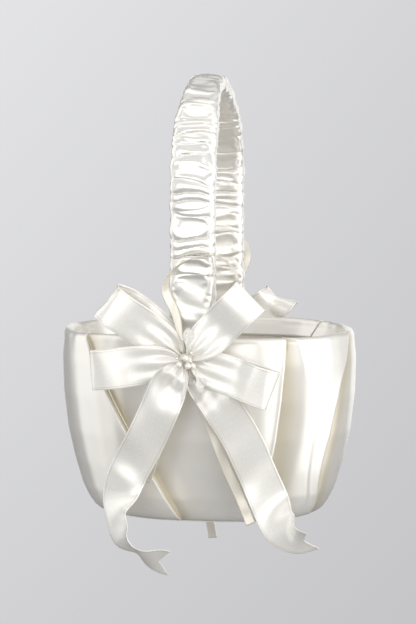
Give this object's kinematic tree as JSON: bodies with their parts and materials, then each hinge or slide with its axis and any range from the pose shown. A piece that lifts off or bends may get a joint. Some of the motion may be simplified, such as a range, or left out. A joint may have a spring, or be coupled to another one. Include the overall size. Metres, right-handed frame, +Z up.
{
  "type": "flower girl basket",
  "caption": "Oval padded satin basket with a tall ruched satin handle that swings on side rivets, and a ribbon bow with a pearl spray over each rivet.",
  "frame": {"origin": "centre of the underside of the base", "axes": "+X along the wide way of the oval, +Y across it through the two handle rivets towards the far bow, +Z up"},
  "size_m": [0.1952, 0.2092, 0.3283],
  "materials": {
    "satin": "satin",
    "lining_satin": "satin",
    "ribbon_satin": "satin",
    "narrow_ribbon_satin": "satin",
    "tub_board": "matte",
    "base_board": "matte",
    "wadding": "matte",
    "felt": "matte",
    "rim_steel": "satin",
    "rivet_metal": "satin",
    "handle_plastic": "matte",
    "spacer_plastic": "matte",
    "spray_wire": "satin",
    "pearl": "gloss",
    "organza": "satin"
  },
  "bodies": {
    "basket": {"outer_cover": "satin", "foam_wrap": "wadding", "tub_shell": "tub_board", "lining": "lining_satin", "floor_pad": "wadding", "rim_wire": "rim_steel", "base_board": "base_board", "base_cover": "satin", "rivet_near": "rivet_metal", "washer_near": "rivet_metal", "pivot_spacer_near": "spacer_plastic", "bow_pad_near": "felt", "bow_near_tie": "ribbon_satin", "bow_near_loop_upper_left": "ribbon_satin", "bow_near_loop_upper_right": "ribbon_satin", "bow_near_loop_lower_left": "ribbon_satin", "bow_near_loop_lower_right": "ribbon_satin", "narrow_loop_near": "narrow_ribbon_satin", "spray_wire_near": "spray_wire", "pearl_near_top": "pearl", "pearl_near_left": "pearl", "pearl_near_right": "pearl", "pearl_near_low": "pearl", "pearl_near_seed_left": "pearl", "pearl_near_seed_right": "pearl", "petal_near_upper": "organza", "petal_near_lower": "organza", "rivet_far": "rivet_metal", "washer_far": "rivet_metal", "pivot_spacer_far": "spacer_plastic", "bow_pad_far": "felt", "bow_far_tie": "ribbon_satin", "bow_far_loop_upper_left": "ribbon_satin", "bow_far_loop_upper_right": "ribbon_satin", "bow_far_loop_lower_left": "ribbon_satin", "bow_far_loop_lower_right": "ribbon_satin", "narrow_loop_far": "narrow_ribbon_satin", "spray_wire_far": "spray_wire", "pearl_far_top": "pearl", "pearl_far_left": "pearl", "pearl_far_right": "pearl", "pearl_far_low": "pearl", "pearl_far_seed_left": "pearl", "pearl_far_seed_right": "pearl", "petal_far_upper": "organza", "petal_far_lower": "organza"},
    "handle": {"handle_core": "handle_plastic", "handle_padding": "wadding", "handle_sleeve": "satin"},
    "tail_near_left": {"tail_near_left": "ribbon_satin"},
    "tail_near_right": {"tail_near_right": "ribbon_satin", "narrow_tail_near_left": "narrow_ribbon_satin", "narrow_tail_near_right": "narrow_ribbon_satin"},
    "tail_far_left": {"tail_far_left": "ribbon_satin"},
    "tail_far_right": {"tail_far_right": "ribbon_satin", "narrow_tail_far_left": "narrow_ribbon_satin", "narrow_tail_far_right": "narrow_ribbon_satin"}
  },
  "joints": [
    {"name": "handle_swing", "type": "hinge", "parent": "basket", "child": "handle", "pos_m": [0, 0, 0.1035], "axis": [0, 1, 0], "range_deg": [-85, 85]},
    {"name": "tail_near_left_lift", "type": "hinge", "parent": "basket", "child": "tail_near_left", "pos_m": [-0.0059, -0.0909, 0.1055], "axis": [-1, 0, 0], "range_deg": [0, 60]},
    {"name": "tail_near_right_sway", "type": "hinge", "parent": "basket", "child": "tail_near_right", "pos_m": [-0.0025, -0.0853, 0.11], "axis": [0, 1, 0], "range_deg": [0, 20]},
    {"name": "tail_far_left_lift", "type": "hinge", "parent": "basket", "child": "tail_far_left", "pos_m": [0.0059, 0.0909, 0.1055], "axis": [1, 0, 0], "range_deg": [0, 60]},
    {"name": "tail_far_right_sway", "type": "hinge", "parent": "basket", "child": "tail_far_right", "pos_m": [0.0025, 0.0853, 0.11], "axis": [0, -1, 0], "range_deg": [0, 20]}
  ]
}
